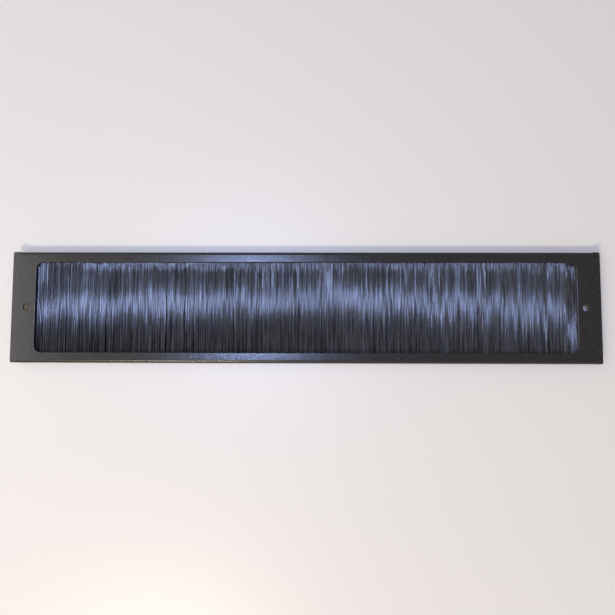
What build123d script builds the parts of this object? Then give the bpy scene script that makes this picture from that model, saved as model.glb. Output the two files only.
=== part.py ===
from build123d import *
import os
from math import sin

# Cable entry brush plate: a folded steel plate with a long window, closed by
# one strip brush whose bristles hang across the window from its upper side.
# X runs along the plate, Y across it and Z out of its face. The plate lies
# face up on its folded lips, with the origin under the middle of the window.
# All sizes are in millimetres.

# Folded plate
plate_length = 400.0
plate_width = 75.6
plate_height = 7.4
sheet_thickness = 1.2
bend_inner_radius = 0.8
end_setback = 4.4
corner_radius = 1.2

# Window and fixing holes, cut through the face
end_bar_width = 16.0
side_bar_width = 7.0
window_corner_radius = 5.0
hole_inset = 10.0
hole_diameter = 4.5
punched_rim_radius = 0.4

# Strip brush: a channel closed over a wire, with the bristles folded round it
brush_end_overlap = 2.5
channel_depth = 5.0
channel_wall = 0.7
channel_inner_radius = 0.3
wire_diameter = 1.2
bristle_mouth_thickness = 3.0
bristle_tip_thickness = 2.4
bristle_tip_overlap = 3.0

# Tufts: ridges along the bristles, and gaps that open from their free ends
tuft_width = 1.6
tuft_groove_depth = 0.45
tufts_per_gap = 2
gap_width = 1.1
gap_shortest = 6.0
gap_longest = 38.0

# Clearances
channel_clearance = 0.1
bristle_clearance = 0.1
wire_clearance = 0.05

# Places that follow from those sizes
window_length = plate_length - 2 * end_bar_width
window_width = plate_width - 2 * side_bar_width
hole_spacing = plate_length - 2 * hole_inset
flange_length = plate_length - 2 * end_setback
flange_inside_y = plate_width / 2 - sheet_thickness
pocket_height = plate_height - 2 * sheet_thickness
channel_back_y = flange_inside_y - channel_clearance
channel_mouth_y = channel_back_y - channel_depth
channel_height = pocket_height - channel_clearance
channel_middle_z = sheet_thickness + channel_height / 2
brush_length = window_length + 2 * brush_end_overlap
root_radius = channel_height / 2 - channel_wall - bristle_clearance
wire_y = channel_back_y - channel_wall - bristle_clearance - root_radius
bristle_tip_y = -window_width / 2 - bristle_tip_overlap
tuft_count = int(brush_length / tuft_width)
tuft_pitch = brush_length / tuft_count
gap_count = (tuft_count - 1) // tufts_per_gap

os.makedirs("parts", exist_ok=True)


# Folded plate: one steel sheet. Each long side is bent back twice, into a
# flange and a lip that turns inwards behind the face. The bends stop short of
# the ends, where the face runs on as two flat tabs. The section is a rounded
# box as thick as the sheet, open below between the lips.
with BuildPart() as face_plate:
    with BuildSketch(Plane.YZ):
        with Locations((0, plate_height / 2)):
            RectangleRounded(plate_width, plate_height, bend_inner_radius + sheet_thickness)
            RectangleRounded(2 * flange_inside_y, pocket_height, bend_inner_radius, mode=Mode.SUBTRACT)
        Rectangle(2 * channel_mouth_y, plate_height, mode=Mode.SUBTRACT)
    extrude(amount=flange_length / 2, both=True)

    with BuildSketch(Plane.XY.offset(plate_height)) as end_tabs:
        Rectangle(plate_length, plate_width)
        fillet(end_tabs.vertices(), corner_radius)
        Rectangle(flange_length, plate_width, mode=Mode.SUBTRACT)
    extrude(amount=-sheet_thickness)

    with BuildSketch(Plane.XY.offset(plate_height)):
        RectangleRounded(window_length, window_width, window_corner_radius)
    extrude(amount=2 * sheet_thickness, both=True, mode=Mode.SUBTRACT)

    with Locations(Plane.XY.offset(plate_height)):
        with GridLocations(hole_spacing, 0, 2, 1):
            Hole(hole_diameter / 2, depth=2 * sheet_thickness)

    front = face_plate.faces().filter_by(Plane.XY).sort_by(Axis.Z)[-1]
    fillet(front.inner_wires().edges(), punched_rim_radius)

face_plate.part.label = "face_plate"
export_step(face_plate.part, "parts/face_plate.step")


# Brush channel: a narrow strip of galvanised steel, rolled into a U. It sits
# in the upper fold, on the lip and behind the face, with its mouth towards
# the window.
channel_side_z = channel_height / 2 - channel_wall / 2
channel_spine_y = channel_back_y - channel_wall / 2

with BuildPart() as brush_channel:
    with BuildSketch(Plane.YZ):
        with BuildLine():
            FilletPolyline(
                (channel_mouth_y, channel_middle_z + channel_side_z),
                (channel_spine_y, channel_middle_z + channel_side_z),
                (channel_spine_y, channel_middle_z - channel_side_z),
                (channel_mouth_y, channel_middle_z - channel_side_z),
                radius=channel_inner_radius + channel_wall / 2,
            )
        trace(line_width=channel_wall)
    extrude(amount=brush_length / 2, both=True)

brush_channel.part.label = "brush_channel"
export_step(brush_channel.part, "parts/brush_channel.step")


# Core wire: the bristles are folded round it, and it locks them in the channel.
with BuildPart() as core_wire:
    with BuildSketch(Plane.YZ):
        with Locations((wire_y, channel_middle_z)):
            Circle(wire_diameter / 2)
    extrude(amount=brush_length / 2, both=True)

core_wire.part.label = "core_wire"
export_step(core_wire.part, "parts/core_wire.step")


# Bristles: nylon filaments folded round the wire. They leave the channel as a
# thick pack, thin out towards their free ends, and end behind the face past
# the window's lower edge.
def ridged_outline(half_thickness):
    """Corners of a pack of tufts, ridged on its upper side and cut off flat below."""
    left = -brush_length / 2
    groove = half_thickness - tuft_groove_depth
    corners = [(left, -2 * half_thickness)]
    for tuft in range(tuft_count):
        corners.append((left + tuft * tuft_pitch, groove))
        corners.append((left + (tuft + 0.5) * tuft_pitch, half_thickness))
    corners.append((-left, groove))
    corners.append((-left, -2 * half_thickness))
    return corners


def gapped_outline():
    """Corners of the bristles seen from the front, with the gaps between their tufts."""
    left = -brush_length / 2
    corners = [(left, wire_y), (left, bristle_tip_y)]
    for gap in range(gap_count):
        middle = left + (gap + 1) * tufts_per_gap * tuft_pitch
        scatter = abs(sin(gap * gap + 1.0))
        depth = gap_shortest + (gap_longest - gap_shortest) * scatter**2
        corners.append((middle - gap_width / 2, bristle_tip_y))
        corners.append((middle, bristle_tip_y + depth))
        corners.append((middle + gap_width / 2, bristle_tip_y))
    corners.append((-left, bristle_tip_y))
    corners.append((-left, wire_y))
    return corners


mouth_half = bristle_mouth_thickness / 2
tip_half = bristle_tip_thickness / 2
taper = (mouth_half - tip_half) / (channel_mouth_y - bristle_tip_y)
wire_half = mouth_half + taper * (wire_y - channel_mouth_y)
bristle_reach = wire_y - bristle_tip_y
wire_axis = (0, wire_y, channel_middle_z)
front_side = Plane(wire_axis, x_dir=(1, 0, 0), z_dir=(0, -1, -taper))
back_side = Plane(wire_axis, x_dir=(-1, 0, 0), z_dir=(0, -1, taper))

with BuildPart() as bristles:
    with BuildSketch(front_side):
        with BuildLine():
            Polyline(*ridged_outline(wire_half), close=True)
        make_face()
    extrude(amount=1.1 * bristle_reach)

    with BuildSketch(back_side):
        with BuildLine():
            Polyline(*ridged_outline(wire_half), close=True)
        make_face()
    extrude(amount=1.1 * bristle_reach, mode=Mode.INTERSECT)

    with BuildSketch(Plane.XY.offset(channel_middle_z)):
        with BuildLine():
            Polyline(*gapped_outline(), close=True)
        make_face()
    extrude(amount=2 * wire_half, both=True, mode=Mode.INTERSECT)

    with BuildSketch(Plane.YZ):
        with Locations((wire_y, channel_middle_z)):
            Circle(root_radius)
            Rectangle(wire_y - channel_mouth_y, 2 * root_radius, align=(Align.MAX, Align.CENTER))
    extrude(amount=brush_length / 2, both=True)

    with BuildSketch(Plane.YZ):
        with Locations((wire_y, channel_middle_z)):
            Circle(wire_diameter / 2 + wire_clearance)
    extrude(amount=brush_length / 2, both=True, mode=Mode.SUBTRACT)

bristles.part.label = "bristles"
export_step(bristles.part, "parts/bristles.step")
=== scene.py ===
import random

import bmesh
import bpy
from mathutils import Matrix, Vector, noise


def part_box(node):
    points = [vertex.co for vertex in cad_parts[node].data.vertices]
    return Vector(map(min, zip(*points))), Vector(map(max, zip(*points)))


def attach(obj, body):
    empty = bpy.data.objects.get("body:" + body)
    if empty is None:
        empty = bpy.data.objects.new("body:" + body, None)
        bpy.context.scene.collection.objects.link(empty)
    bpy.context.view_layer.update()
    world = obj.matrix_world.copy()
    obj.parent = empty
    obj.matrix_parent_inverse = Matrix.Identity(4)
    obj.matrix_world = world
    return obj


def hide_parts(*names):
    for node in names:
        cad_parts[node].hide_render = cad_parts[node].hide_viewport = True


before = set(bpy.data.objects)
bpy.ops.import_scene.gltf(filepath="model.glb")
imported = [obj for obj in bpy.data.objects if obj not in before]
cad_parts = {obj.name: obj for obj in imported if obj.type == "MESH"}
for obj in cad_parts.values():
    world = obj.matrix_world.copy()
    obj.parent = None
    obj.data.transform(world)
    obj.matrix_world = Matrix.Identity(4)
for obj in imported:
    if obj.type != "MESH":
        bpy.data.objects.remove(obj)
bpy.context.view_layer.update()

# The camera. The photograph looks almost straight down at the plate from
# about 38 cm, a little from its lower side. Its place and turn were worked out
# from the plate's four corners.
MM = 0.001
PHOTO_SIDE = 615
FOCAL_PIXELS = 560.0
SENSOR_WIDTH = 36.0
NEAREST_SHOWN = 10.0 * MM
camera_from_face = Vector((6.2, -27.0, 378.8)) * MM
camera_right = Vector((0.99993, 0.00269, -0.01136)).normalized()
camera_forward = Vector((-0.01153, 0.07081, -0.99742)).normalized()

plate_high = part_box("face_plate")[1]
camera_data = bpy.data.cameras.new("camera")
camera_data.sensor_width = SENSOR_WIDTH
camera_data.lens = SENSOR_WIDTH * FOCAL_PIXELS / PHOTO_SIDE
camera_data.clip_start = NEAREST_SHOWN
camera = bpy.data.objects.new("camera", camera_data)
bpy.context.scene.collection.objects.link(camera)
camera_up = camera_right.cross(camera_forward).normalized()
camera_side = camera_forward.cross(camera_up)
camera_turn = Matrix((camera_side, camera_up, -camera_forward)).transposed()
camera_place = camera_from_face + Vector((0, 0, plate_high.z))
camera.matrix_world = Matrix.Translation(camera_place) @ camera_turn.to_4x4()
bpy.context.scene.camera = camera


# The table: a plain top of white laminate with a satin face. Nothing lies on it
# but the plate.
def linear(colour):
    """An sRGB hex colour, such as "#1c1c1e", as the linear values that Blender takes."""
    shares = [int(colour[i:i + 2], 16) / 255 for i in (1, 3, 5)]
    return [s / 12.92 if s <= 0.04045 else ((s + 0.055) / 1.055) ** 2.4 for s in shares] + [1.0]


def add_node(tree, kind, links=None, **settings):
    """Adds a node. links gives each input a value, or the output of another node."""
    made = tree.nodes.new(kind)
    for name, value in settings.items():
        setattr(made, name, value)
    for name, value in (links or {}).items():
        if isinstance(value, bpy.types.NodeSocket):
            tree.links.new(value, made.inputs[name])
        else:
            made.inputs[name].default_value = value
    return made


def new_material(name):
    """A material with its node tree and its output node, and nothing else in it."""
    material = bpy.data.materials.new(name)
    material.use_nodes = True
    material.node_tree.nodes.clear()
    return material, material.node_tree, material.node_tree.nodes.new("ShaderNodeOutputMaterial")


TABLE_COLOUR = "#d9d7d3"
TABLE_ROUGHNESS = 0.38
TABLE_SIDE = 6.0

table_material, tree, output = new_material("white_laminate")
table_shader = add_node(tree, "ShaderNodeBsdfPrincipled", {
    "Base Color": linear(TABLE_COLOUR), "Roughness": TABLE_ROUGHNESS})
tree.links.new(table_shader.outputs[0], output.inputs["Surface"])

table_bm = bmesh.new()
bmesh.ops.create_grid(table_bm, x_segments=1, y_segments=1, size=TABLE_SIDE / 2)
table_mesh = bpy.data.meshes.new("table")
table_bm.to_mesh(table_mesh)
table_bm.free()
table = bpy.data.objects.new("table", table_mesh)
table.data.materials.append(table_material)
bpy.context.scene.collection.objects.link(table)


# The light. A small bluish lamp makes the bright spot on both long bars and the
# band across the bristles, and a warm window light throws the soft shadow. A
# side window and the room, pale on the left and dark on the right, fill in.
def add_lamp(name, place, width, height, power, colour):
    """A rectangular lamp, turned towards the middle of the plate, in metres and watts."""
    lamp_data = bpy.data.lights.new(name, "AREA")
    lamp_data.shape = "RECTANGLE"
    lamp_data.size = width
    lamp_data.size_y = height
    lamp_data.energy = power
    lamp_data.color = linear(colour)[:3]
    lamp = bpy.data.objects.new(name, lamp_data)
    bpy.context.scene.collection.objects.link(lamp)
    to_lamp = Vector(place).normalized()
    along = Vector((0, 1, 0)).cross(to_lamp).normalized()
    turn = Matrix((along, to_lamp.cross(along), to_lamp)).transposed()
    lamp.matrix_world = Matrix.Translation(Vector(place)) @ turn.to_4x4()


ROOM_STRENGTH = 1.05
ROOM_TONES = ((0.0, "#968f81"), (0.175, "#fff4dc"), (0.56, "#847e71"))

add_lamp("blue_lamp", (-0.298, 0.172, 2.4), width=0.30, height=0.060, power=27.5, colour="#aec4ff")
add_lamp("window_light", (-0.42, -0.97, 1.1), width=0.40, height=0.22, power=12.8, colour="#ffedd0")
add_lamp("side_window", (-0.80, -0.05, 0.8), width=0.40, height=0.60, power=1.4, colour="#fbfcff")

bpy.context.scene.view_settings.view_transform = "Standard"
room = bpy.data.worlds.new("room")
room.use_nodes = True
room.node_tree.nodes.clear()
direction = add_node(room.node_tree, "ShaderNodeTexCoord")
side = add_node(room.node_tree, "ShaderNodeSeparateXYZ", {"Vector": direction.outputs["Generated"]})
left_to_right = add_node(room.node_tree, "ShaderNodeMapRange", {
    "Value": side.outputs["X"], "From Min": -1.0})
room_tone = add_node(room.node_tree, "ShaderNodeValToRGB", {"Fac": left_to_right.outputs["Result"]})
room_tone.color_ramp.interpolation = "EASE"
# A new ramp already has two stops
for stop, (position, colour) in enumerate(ROOM_TONES):
    if stop > 1:
        room_tone.color_ramp.elements.new(position)
    room_tone.color_ramp.elements[stop].position = position
    room_tone.color_ramp.elements[stop].color = linear(colour)
walls = add_node(room.node_tree, "ShaderNodeBackground", {
    "Color": room_tone.outputs["Color"], "Strength": ROOM_STRENGTH})
room_output = room.node_tree.nodes.new("ShaderNodeOutputWorld")
room.node_tree.links.new(walls.outputs[0], room_output.inputs["Surface"])
bpy.context.scene.world = room


# The face plate: one folded sheet of steel, black powder coated. The coat's fine
# grain breaks up the light, and it is duller on the bends and behind. The grain
# is drawn about three times coarser than real, so that it shows.
COAT_COLOUR = "#1b1b1d"
COAT_PALE = "#2f2f31"
COAT_IOR = 1.5
COAT_GRAIN = 0.8 * MM
COAT_GRAIN_RANGE = (0.35, 0.65)
COAT_RELIEF = 0.035 * MM
COAT_MOTTLE = 4.0 * MM
COAT_MOTTLE_RANGE = (0.3, 0.7)
COAT_ROUGHNESS = (0.155, 0.195)

# How far up the surface faces where a bend is dullest, and where the flat begins
BEND_FACING = (0.80, 0.98)
BEND_ROUGHNESS = 0.95

coat_material, tree, output = new_material("black_textured_powder_coat")
place = add_node(tree, "ShaderNodeTexCoord")
grain = add_node(tree, "ShaderNodeTexNoise", {
    "Vector": place.outputs["Object"], "Scale": 1 / COAT_GRAIN, "Detail": 2.0, "Roughness": 0.6})
mottle = add_node(tree, "ShaderNodeTexNoise", {
    "Vector": place.outputs["Object"], "Scale": 1 / COAT_MOTTLE, "Detail": 3.0})
speckle = add_node(tree, "ShaderNodeMapRange", {
    "Value": grain.outputs["Fac"], "From Min": COAT_GRAIN_RANGE[0], "From Max": COAT_GRAIN_RANGE[1]})
# Inputs 6 and 7 of a Mix node are its two colours
tone = add_node(tree, "ShaderNodeMix", {
    "Factor": speckle.outputs["Result"], 6: linear(COAT_COLOUR), 7: linear(COAT_PALE)}, data_type="RGBA")
sheen = add_node(tree, "ShaderNodeMapRange", {
    "Value": mottle.outputs["Fac"], "From Min": COAT_MOTTLE_RANGE[0], "From Max": COAT_MOTTLE_RANGE[1],
    "To Min": COAT_ROUGHNESS[0], "To Max": COAT_ROUGHNESS[1]})
facing = add_node(tree, "ShaderNodeSeparateXYZ", {"Vector": place.outputs["Normal"]})
dull = add_node(tree, "ShaderNodeMapRange", {
    "Value": facing.outputs["Z"], "From Min": BEND_FACING[0], "From Max": BEND_FACING[1],
    "To Min": BEND_ROUGHNESS, "To Max": 0.0})
roughness = add_node(tree, "ShaderNodeMath", {
    0: sheen.outputs["Result"], 1: dull.outputs["Result"]}, operation="MAXIMUM")
relief = add_node(tree, "ShaderNodeBump", {
    "Height": grain.outputs["Fac"], "Strength": 1.0, "Distance": COAT_RELIEF})
coat_shader = add_node(tree, "ShaderNodeBsdfPrincipled", {
    "Base Color": tone.outputs[2], "Roughness": roughness.outputs["Value"], "IOR": COAT_IOR,
    "Normal": relief.outputs["Normal"]})
tree.links.new(coat_shader.outputs[0], output.inputs["Surface"])

face_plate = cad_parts["face_plate"]
face_plate.data.materials.clear()
face_plate.data.materials.append(coat_material)


# The brush channel: a strip of galvanised steel rolled into a U. Its zinc is
# dull grey, with the faint patches of crystals that hot-dipped strip has.
ZINC_COLOUR = "#a3a7aa"
ZINC_PALE = "#bcc0c2"
ZINC_ROUGHNESS = (0.38, 0.55)
SPANGLE = 3.0 * MM

zinc_material, tree, output = new_material("galvanised_steel_strip")
place = add_node(tree, "ShaderNodeTexCoord")
crystals = add_node(tree, "ShaderNodeTexVoronoi", {"Vector": place.outputs["Object"], "Scale": 1 / SPANGLE})
patch = add_node(tree, "ShaderNodeSeparateColor", {"Color": crystals.outputs["Color"]})
tone = add_node(tree, "ShaderNodeMix", {
    "Factor": patch.outputs[0], 6: linear(ZINC_COLOUR), 7: linear(ZINC_PALE)}, data_type="RGBA")
dullness = add_node(tree, "ShaderNodeMapRange", {
    "Value": patch.outputs[0], "To Min": ZINC_ROUGHNESS[0], "To Max": ZINC_ROUGHNESS[1]})
zinc_shader = add_node(tree, "ShaderNodeBsdfPrincipled", {
    "Base Color": tone.outputs[2], "Metallic": 1.0, "Roughness": dullness.outputs["Result"]})
tree.links.new(zinc_shader.outputs[0], output.inputs["Surface"])

brush_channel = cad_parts["brush_channel"]
brush_channel.data.materials.clear()
brush_channel.data.materials.append(zinc_material)


# The core wire: plain drawn steel wire inside the fold of the bristles, where
# only its two cut ends are bare. Drawing leaves fine dull lines along it.
WIRE_COLOUR = "#8d8b88"
WIRE_ROUGHNESS = (0.3, 0.5)
DRAW_LINE = 0.15 * MM
DRAW_LINE_STRETCH = 0.02

wire_material, tree, output = new_material("drawn_steel_wire")
place = add_node(tree, "ShaderNodeTexCoord")
stretch = add_node(tree, "ShaderNodeMapping", {
    "Vector": place.outputs["Object"], "Scale": (DRAW_LINE_STRETCH, 1.0, 1.0)})
lines = add_node(tree, "ShaderNodeTexNoise", {"Vector": stretch.outputs["Vector"], "Scale": 1 / DRAW_LINE})
dullness = add_node(tree, "ShaderNodeMapRange", {
    "Value": lines.outputs["Fac"], "To Min": WIRE_ROUGHNESS[0], "To Max": WIRE_ROUGHNESS[1]})
wire_shader = add_node(tree, "ShaderNodeBsdfPrincipled", {
    "Base Color": linear(WIRE_COLOUR), "Metallic": 1.0, "Roughness": dullness.outputs["Result"]})
tree.links.new(wire_shader.outputs[0], output.inputs["Surface"])

core_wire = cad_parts["core_wire"]
core_wire.data.materials.clear()
core_wire.data.materials.append(wire_material)


# The bristles: black nylon filaments, each folded round the core wire so that
# it hangs across the window as two legs. Drawn nylon is smooth and glossy. The
# filaments gather into narrow locks that lean and part towards their free ends.
FILAMENT_RADIUS = 0.15 * MM
FILAMENT_SPACING = 0.090 * MM
SPACING_SCATTER = (0.5, 1.5)
SEED = 11

# Enough pieces that each stays under 200,000 triangles
PIECES = 5

# The gloss was matched to the photograph. Its highlight is wide across a
# filament and narrow along it. Paler streaks along the filaments are painted
# sheen, standing in for strands that catch the light.
NYLON_COLOUR = "#141519"
NYLON_PAINTED_SHEEN = "#484a54"
NYLON_STREAK = 0.7 * MM
NYLON_STREAK_STRETCH = 0.04
NYLON_STREAK_RANGE = (0.35, 0.65)
NYLON_ROUGHNESS = 0.16
NYLON_IOR = 1.53
NYLON_SPECULAR = 0.42

brush_low, brush_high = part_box("bristles")
channel_low, channel_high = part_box("brush_channel")
wire_low, wire_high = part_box("core_wire")
wire_radius = (wire_high.z - wire_low.z) / 2
pack_radius = (brush_high.z - brush_low.z) / 2
wire_y = (wire_low.y + wire_high.y) / 2
middle_z = (wire_low.z + wire_high.z) / 2
ceiling_z = channel_high.z - FILAMENT_RADIUS
mouth_y = channel_low.y
reach = mouth_y - brush_low.y
brush_length = brush_high.x - brush_low.x

# Distances below the channel's mouth at which a front leg has a point, apart
# from its free end, and how far a lock stretches them. A back leg has every
# second one. Then the course of the pack: half its thickness at the mouth, its
# taper, its sag, and how far a filament's free end is cut short or left long.
STATIONS = [d * MM for d in (0.3, 2, 4, 7, 10, 14, 18, 22, 27, 33, 41, 51)]
STRETCHES = (0.75, 1.2)
MOUTH_HALF = 1.45 * MM
TAPER = 0.0028
SAG = 0.0084
CUT_SHORT = (-0.3 * MM, 0.7 * MM)

# Locks. Most drop steeply just below the mouth and then lie almost flat, so
# they catch the lamp at their roots and again in the band. In clusters, others
# drop slowly, and catch it all the way between. The locks lie neater towards the
# left end, and those near it start flat. Slopes are rises per length.
# CROWN is how far a lock's sides lie below its middle. GATHER draws the free
# ends to that middle. Tilt and curl set in over the first GRIP below the mouth.
LOCK_WIDTHS = (0.35 * MM, 1.25 * MM)
LOCK_LEAN = 0.35 * MM
LOCK_TILT = 0.0055
LEAN_POWER = 1.5
CROWN = 0.28 * MM
CROWN_LENGTH = 10.0 * MM
GATHER = 0.15
GRIP = 4.0 * MM
START_SLOPES = (0.028, 0.054)
SHORT_DROPS = (2.0 * MM, 8.0 * MM)
LONG_DROPS = (18.0 * MM, 27.0 * MM)
NEATEST = 0.45
NEAT_LENGTH = 530.0 * MM
FLAT_ROOTS = 0.1
FLAT_ROOTS_END = 18.0 * MM
STEEP_ROOTS_START = 50.0 * MM
END_TUFT = 9.2 * MM
FIRST_TUFT_STEEP = 0.8
CLUSTER_LENGTH = 8.0 * MM
CLUSTER_PLACE = (0.3, 2.6)
CLUSTER_SCATTER = 0.2
LONG_LEVEL = 0.42

# Single filaments within a lock
OWN_LEAN = 0.16 * MM
OWN_TILT = 0.0030
STRAY_SHARE = 0.012
STRAY_LEAN = 2.5 * MM

# The pack isn't quite flat: towards both ends of the brush it curls up on its
# way down, and it waves a little. The last tuft on the right drops most at its
# roots, and curls up at a rate of its own.
CURL_RATE = 0.080
CURL_START = 14.0 * MM
LAST_CURL = 0.034
LAST_DROP = 0.50 * MM
LAST_DROP_LENGTH = 2.5 * MM
SWELL = 0.08 * MM
SWELL_LENGTH = 26.0 * MM
SWELL_PLACE = 1.7


def pack_rise(x, below):
    """How far the pack lies above its even course, at a place along the brush and down the legs."""
    curl_slope = LAST_CURL if x > brush_high.x - END_TUFT else CURL_RATE * abs(x)
    swell = noise.noise(Vector((x / SWELL_LENGTH, below / SWELL_LENGTH, SWELL_PLACE)))
    return curl_slope * max(0.0, below - CURL_START) - SAG * below + SWELL * swell


def leg(x, share, side, lock, rng):
    """Points of one leg from the channel's mouth to its free end. side is 1 in front, -1 behind."""
    stations = lock["stations"] if side > 0 else lock["stations"][::2]
    across = 2 * (x - lock["middle"]) / lock["width"]
    lean = lock["lean"] + rng.gauss(0.0, OWN_LEAN) - GATHER * (x - lock["middle"])
    if rng.random() < STRAY_SHARE:
        lean += rng.uniform(-STRAY_LEAN, STRAY_LEAN)
    tilt = lock["tilt"] + rng.gauss(0.0, OWN_TILT)
    cut = rng.uniform(*CUT_SHORT)
    points = []
    for below in stations:
        held = min(1.0, below / GRIP)
        dropped = 1.0 - max(0.0, 1.0 - below / lock["drop_length"]) ** 2
        crowned = 1.0 - max(0.0, 1.0 - below / CROWN_LENGTH) ** 2
        half = MOUTH_HALF - TAPER * below - lock["drop"] * dropped - lock["crown"] * across ** 2 * crowned
        z = middle_z + side * share * half + (tilt * below + pack_rise(x, below)) * held
        y = mouth_y - below + (cut if below == reach else 0.0)
        points.append(Vector((x + lean * (below / reach) ** LEAN_POWER, y, min(z, ceiling_z))))
    return points


def filament(x, share, lock, rng):
    """Points of one folded filament: up its front leg, round the wire, and down behind."""
    turn = wire_radius + FILAMENT_RADIUS + share * (pack_radius - wire_radius - 2 * FILAMENT_RADIUS)
    fold = [Vector((x, wire_y, middle_z + turn)), Vector((x, wire_y + turn, middle_z)),
            Vector((x, wire_y, middle_z - turn))]
    return leg(x, share, 1, lock, rng)[::-1] + fold + leg(x, share, -1, lock, rng)


def next_lock(left, rng):
    """A lock that starts at a place along the brush, with how its filaments lean, tilt and drop."""
    width = rng.uniform(*LOCK_WIDTHS)
    from_left = left - brush_low.x
    unruly = NEATEST + from_left / NEAT_LENGTH
    steep = min(1.0, max(FLAT_ROOTS, (from_left - FLAT_ROOTS_END) / (STEEP_ROOTS_START - FLAT_ROOTS_END)))
    cluster_place = Vector((left / CLUSTER_LENGTH, *CLUSTER_PLACE))
    cluster = noise.noise(cluster_place) + rng.gauss(0.0, CLUSTER_SCATTER)
    first_tuft = from_left < END_TUFT
    slow = first_tuft or cluster > LONG_LEVEL / min(1.0, unruly)
    drop_length = rng.uniform(*(LONG_DROPS if slow else SHORT_DROPS))
    start_slope = rng.uniform(*START_SLOPES) * (FIRST_TUFT_STEEP * (1 + cluster) if first_tuft else steep)
    drop = start_slope / 2 * drop_length
    if left > brush_high.x - END_TUFT:
        drop, drop_length = LAST_DROP, LAST_DROP_LENGTH
    stretch = rng.uniform(*STRETCHES)
    return {"stations": [stretch * station for station in STATIONS] + [reach],
            "middle": left + width / 2, "width": width, "lean": rng.gauss(0.0, LOCK_LEAN),
            "tilt": rng.gauss(0.0, LOCK_TILT) * unruly, "crown": CROWN * unruly,
            "drop": drop, "drop_length": drop_length}


nylon_material, tree, output = new_material("black_nylon_filament")
place = add_node(tree, "ShaderNodeTexCoord")
stretch = add_node(tree, "ShaderNodeMapping", {
    "Vector": place.outputs["Object"], "Scale": (1.0, NYLON_STREAK_STRETCH, 1.0)})
shade = add_node(tree, "ShaderNodeTexNoise", {
    "Vector": stretch.outputs["Vector"], "Scale": 1 / NYLON_STREAK, "Detail": 2.0})
streak = add_node(tree, "ShaderNodeMapRange", {
    "Value": shade.outputs["Fac"], "From Min": NYLON_STREAK_RANGE[0], "From Max": NYLON_STREAK_RANGE[1]})
# The paler colour mixed in along the filaments is painted sheen on the strands
tone = add_node(tree, "ShaderNodeMix", {
    "Factor": streak.outputs["Result"], 6: linear(NYLON_COLOUR), 7: linear(NYLON_PAINTED_SHEEN)}, data_type="RGBA")
across_filament = add_node(tree, "ShaderNodeCombineXYZ", {"X": 1.0})
nylon_shader = add_node(tree, "ShaderNodeBsdfPrincipled", {
    "Base Color": tone.outputs[2], "Roughness": NYLON_ROUGHNESS, "IOR": NYLON_IOR,
    "Specular IOR Level": NYLON_SPECULAR, "Anisotropic": 1.0,
    "Tangent": across_filament.outputs["Vector"]})
tree.links.new(nylon_shader.outputs[0], output.inputs["Surface"])

# The filaments are laid side by side along the brush, more of them near the
# pack's faces than deep inside it. The filaments of a piece are one curve, which
# is made into a mesh.
rng = random.Random(SEED)
x = brush_low.x + FILAMENT_RADIUS
lock = next_lock(x, rng)
for piece in range(PIECES):
    curve = bpy.data.curves.new("filaments", "CURVE")
    curve.dimensions = "3D"
    curve.bevel_depth = FILAMENT_RADIUS
    curve.bevel_resolution = 0
    curve.use_fill_caps = True
    piece_end = brush_low.x + (piece + 1) / PIECES * brush_length - FILAMENT_RADIUS
    while x < piece_end:
        if x > lock["middle"] + lock["width"] / 2:
            lock = next_lock(x, rng)
        share_of_half = rng.random() ** 0.5
        path = filament(x, share_of_half, lock, rng)
        spline = curve.splines.new("POLY")
        spline.points.add(len(path) - 1)
        spline.points.foreach_set("co", [v for point in path for v in (*point, 1.0)])
        spline.use_smooth = True
        x += rng.uniform(*SPACING_SCATTER) * FILAMENT_SPACING
    drawn = bpy.data.objects.new("filaments", curve)
    bpy.context.scene.collection.objects.link(drawn)
    bpy.context.view_layer.update()
    mesh = bpy.data.meshes.new_from_object(drawn.evaluated_get(bpy.context.evaluated_depsgraph_get()))
    bpy.data.objects.remove(drawn)
    bristles = bpy.data.objects.new(f"bristles_{piece + 1}", mesh)
    bristles.data.materials.clear()
    bristles.data.materials.append(nylon_material)
    bpy.context.scene.collection.objects.link(bristles)
    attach(bristles, "root")
    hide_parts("bristles")
